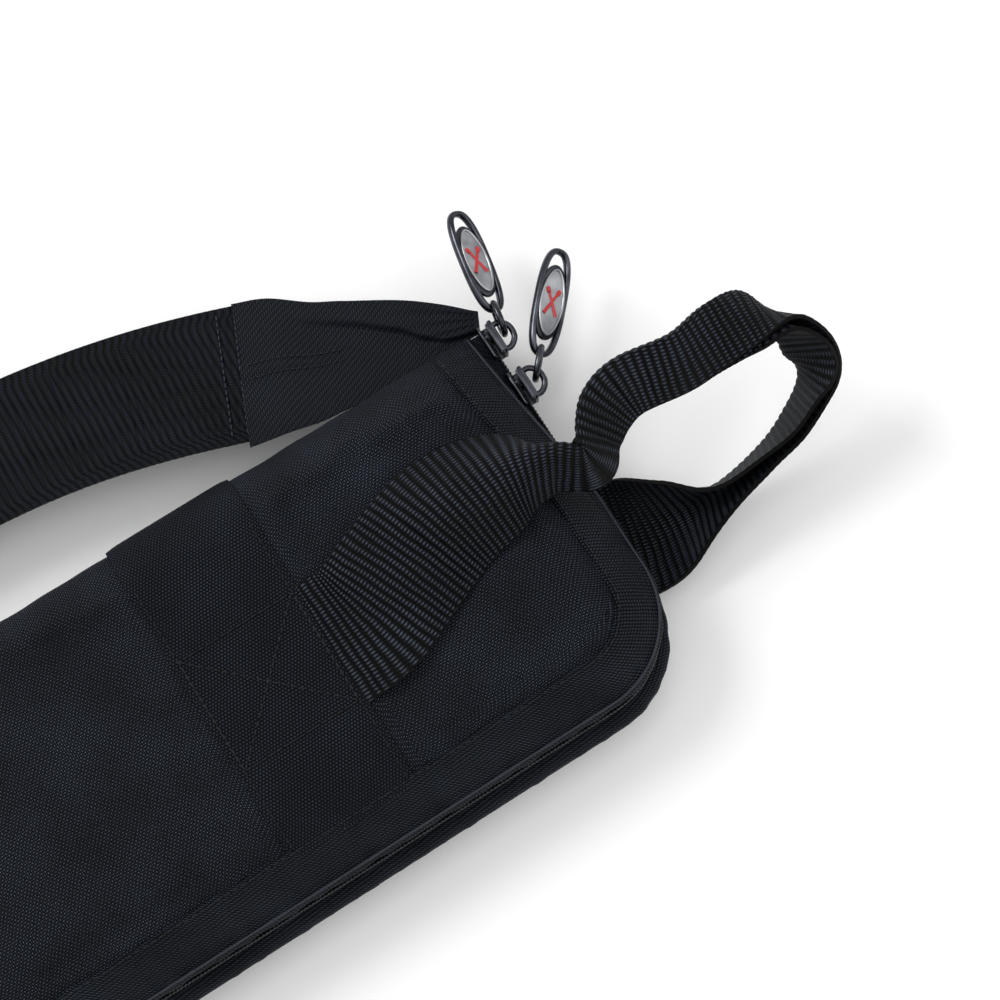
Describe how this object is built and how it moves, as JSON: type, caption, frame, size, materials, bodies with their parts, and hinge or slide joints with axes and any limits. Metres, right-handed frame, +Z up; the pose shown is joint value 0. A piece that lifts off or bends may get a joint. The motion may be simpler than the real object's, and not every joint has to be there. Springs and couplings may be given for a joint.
{
  "type": "drum stick bag",
  "caption": "Padded zipped clamshell case for drum sticks, with webbing bands, an end grab handle, a side carry strap, zip sliders with long pullers and inner pockets.",
  "frame": {"origin": "middle of the flat back face that the bag rests on", "axes": "+X along the bag to the end with the grab handle, +Y to the spine where the halves hinge, +Z up through the front half"},
  "size_m": [0.556, 0.2211, 0.0756],
  "materials": {
    "cover_fabric": "woven 600 denier polyester, dark blue-black",
    "foam": "soft closed-cell padding foam",
    "lining": "smooth nylon lining",
    "binding_tape": "ribbed woven binding tape",
    "zip_tape": "twill zip tape",
    "zip_coil": "nylon coil",
    "webbing": "ribbed polyester webbing",
    "elastic": "knitted elastic",
    "gunmetal": "black nickel on cast zinc",
    "satin_metal": "satin nickel",
    "red_enamel": "enamel emblem"
  },
  "bodies": {
    "back_half": {"back_cover": "cover_fabric", "back_foam": "foam", "back_lining": "lining", "back_binding": "binding_tape", "back_zip_tape": "zip_tape", "back_zip_coil": "zip_coil", "back_band_handle_end": "webbing", "back_band_far_end": "webbing", "back_handle_strap": "webbing", "stick_pocket": "lining", "stick_pocket_binding": "binding_tape"},
    "front_half": {"front_cover": "cover_fabric", "front_foam": "foam", "front_lining": "lining", "front_binding": "binding_tape", "front_zip_tape": "zip_tape", "front_zip_coil": "zip_coil", "front_band_handle_end": "webbing", "front_band_far_end": "webbing", "front_handle_strap": "webbing", "handle_grip": "webbing", "accessory_pocket": "lining", "accessory_pocket_elastic": "elastic"},
    "carry_handle": {"carry_webbing": "webbing", "tail_strip_handle_end": "zip_tape", "tail_strip_far_end": "zip_tape"},
    "slider_1": {"slider_1_body": "gunmetal"},
    "link_ring_1": {"link_ring_1": "gunmetal"},
    "puller_1": {"puller_1_frame": "gunmetal", "puller_1_badge": "satin_metal", "puller_1_emblem": "red_enamel"},
    "slider_2": {"slider_2_body": "gunmetal"},
    "link_ring_2": {"link_ring_2": "gunmetal"},
    "puller_2": {"puller_2_frame": "gunmetal", "puller_2_badge": "satin_metal", "puller_2_emblem": "red_enamel"}
  },
  "joints": [
    {"name": "front_open", "type": "hinge", "parent": "back_half", "child": "front_half", "pos_m": [0, 0.0744, 0.028], "axis": [-1, 0, 0], "range_deg": [0, 180]},
    {"name": "carry_handle_follow", "type": "hinge", "parent": "back_half", "child": "carry_handle", "pos_m": [0, 0.0744, 0.028], "axis": [-1, 0, 0], "range_deg": [0, 90]},
    {"name": "slider_1_travel", "type": "slide", "parent": "back_half", "child": "slider_1", "axis": [0, 1, 0], "range_m": [-0.004, 0]},
    {"name": "link_ring_1_swing", "type": "hinge", "parent": "slider_1", "child": "link_ring_1", "pos_m": [0.2346, 0.067, 0.028], "axis": [0, 0, 1], "range_deg": [-12, 2]},
    {"name": "puller_1_swing", "type": "hinge", "parent": "link_ring_1", "child": "puller_1", "pos_m": [0.23699, 0.07927, 0.028], "axis": [0, 0, 1], "range_deg": [-10, 3]},
    {"name": "slider_2_travel", "type": "slide", "parent": "back_half", "child": "slider_2", "axis": [0, 1, 0], "range_m": [-0.07, 0]},
    {"name": "link_ring_2_swing", "type": "hinge", "parent": "slider_2", "child": "link_ring_2", "pos_m": [0.2346, 0.0465, 0.028], "axis": [0, 0, 1], "range_deg": [-112, 4]},
    {"name": "puller_2_swing", "type": "hinge", "parent": "link_ring_2", "child": "puller_2", "pos_m": [0.24313, 0.05564, 0.028], "axis": [0, 0, 1], "range_deg": [-14, 4]}
  ],
  "couplings": [
    {"joint": "carry_handle_follow", "follows": "front_open", "ratio": 0.5}
  ]
}
